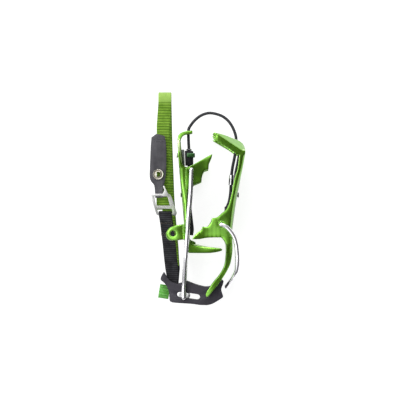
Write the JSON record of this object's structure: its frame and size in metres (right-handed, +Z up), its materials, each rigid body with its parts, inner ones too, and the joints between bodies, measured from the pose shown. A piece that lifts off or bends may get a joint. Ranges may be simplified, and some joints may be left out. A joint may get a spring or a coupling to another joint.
{
  "type": "crampon",
  "caption": "Lightweight aluminium crampon folded for storage: front and heel sections joined by a cord, wire toe bail, heel bail with adjustable lever, ankle strap.",
  "frame": {"origin": "centre of the folded crampon's footprint, on the surface it lies on", "axes": "+Y from the front points to the instep end, +X from the ankle strap to the toe bail across the folded stack, +Z up across the crampon's width"},
  "size_m": [0.1047, 0.234, 0.0868],
  "materials": {
    "green_aluminium": "green anodised, satin",
    "lock_green": "dark green anodised",
    "antisnow_plastic": "matte black",
    "lever_plastic": "satin charcoal",
    "lock_plastic": "matte black",
    "steel_wire": "satin stainless",
    "bright_steel": "polished",
    "grey_metal": "grey anodised",
    "wheel_plastic": "satin green, ribbed",
    "green_webbing": "ribbed woven polyester",
    "black_webbing": "ribbed woven polyester",
    "tab_leather": "coated charcoal",
    "cord": "braided sheath"
  },
  "bodies": {
    "front": {"front_frame": "green_aluminium", "front_antisnow": "antisnow_plastic", "front_clip_near": "antisnow_plastic", "front_clip_far": "antisnow_plastic", "cord_front": "cord", "cord_knot_front": "cord", "cord_ferrule": "bright_steel"},
    "toe_bail": {"toe_bail": "steel_wire"},
    "cord_link_front": {"cord_link_front": "cord"},
    "cord_link_heel": {"cord_link_heel": "cord"},
    "heel": {"heel_frame": "green_aluminium", "heel_antisnow": "antisnow_plastic", "heel_clip_near": "antisnow_plastic", "heel_clip_far": "antisnow_plastic", "cord_lock_plate": "grey_metal", "cord_lock_body": "lock_plastic", "cord_lock_rivet": "bright_steel", "cord_lock_collar": "grey_metal", "cord_heel": "cord", "cord_knot_heel": "cord"},
    "cord_lock_button": {"cord_lock_button": "lock_green"},
    "heel_bail": {"heel_bail_near": "steel_wire", "heel_bail_far": "steel_wire"},
    "adjuster_block": {"adjuster_block": "bright_steel"},
    "lever": {"heel_lever": "lever_plastic", "strap_pin_near": "bright_steel", "strap_pin_far": "bright_steel", "adjuster_washer": "bright_steel"},
    "adjuster_wheel": {"adjuster_wheel": "wheel_plastic", "adjuster_screw": "bright_steel"},
    "strap": {"strap_webbing": "green_webbing", "strap_lower_near": "black_webbing", "strap_lower_far": "black_webbing", "strap_tab": "tab_leather", "strap_eyelet": "bright_steel", "buckle_frame": "bright_steel", "buckle_slide_bar": "bright_steel"},
    "buckle_release": {"buckle_release": "bright_steel"}
  },
  "joints": [
    {"name": "fold_front", "type": "hinge", "parent": "front", "child": "cord_link_front", "pos_m": [0.0416, 0.071, 0.0434], "axis": [0, 0, 1], "range_deg": [-60, 0]},
    {"name": "fold_middle", "type": "hinge", "parent": "cord_link_front", "child": "cord_link_heel", "pos_m": [0.019, 0.0936, 0.0434], "axis": [0, 0, 1], "range_deg": [-60, 0]},
    {"name": "fold_heel", "type": "hinge", "parent": "cord_link_heel", "child": "heel", "pos_m": [-0.0096, 0.0768, 0.0434], "axis": [0, 0, 1], "range_deg": [-60, 0]},
    {"name": "toe_bail_swing", "type": "hinge", "parent": "front", "child": "toe_bail", "pos_m": [0.0255, -0.0285, 0.0434], "axis": [0, 0, 1], "range_deg": [0, 120]},
    {"name": "heel_bail_swing", "type": "hinge", "parent": "heel", "child": "heel_bail", "pos_m": [-0.0066, 0.031, 0.0434], "axis": [0, 0, 1], "range_deg": [-80, 0]},
    {"name": "lever_pivot", "type": "hinge", "parent": "heel_bail", "child": "adjuster_block", "pos_m": [-0.01508, -0.10548, 0.0434], "axis": [0, 0, 1], "range_deg": [0, 90]},
    {"name": "lever_adjust", "type": "slide", "parent": "adjuster_block", "child": "lever", "axis": [-0.9877, 0.1564, 0], "range_m": [0, 0.0104]},
    {"name": "wheel_turn", "type": "hinge", "parent": "lever", "child": "adjuster_wheel", "pos_m": [-0.03657, -0.10208, 0.0434], "axis": [0.9877, -0.1564, 0], "range_deg": [0, 1880]},
    {"name": "strap_swing", "type": "hinge", "parent": "lever", "child": "strap", "pos_m": [-0.0265, -0.095, 0.0434], "axis": [0, 0, 1], "range_deg": [0, 80]},
    {"name": "buckle_release_lift", "type": "hinge", "parent": "strap", "child": "buckle_release", "pos_m": [-0.0334, 0.0024, 0.0639], "axis": [1, 0, 0], "range_deg": [0, 50]},
    {"name": "cord_lock_slide", "type": "slide", "parent": "heel", "child": "cord_lock_button", "axis": [0, -1, 0], "range_m": [0, 0.006]}
  ],
  "couplings": [
    {"joint": "fold_middle", "follows": "fold_front", "ratio": 1},
    {"joint": "fold_heel", "follows": "fold_front", "ratio": 1},
    {"joint": "wheel_turn", "follows": "lever_adjust", "rad_per_m": 3141.6},
    {"joint": "strap_swing", "follows": "heel_bail_swing", "ratio": -1}
  ]
}
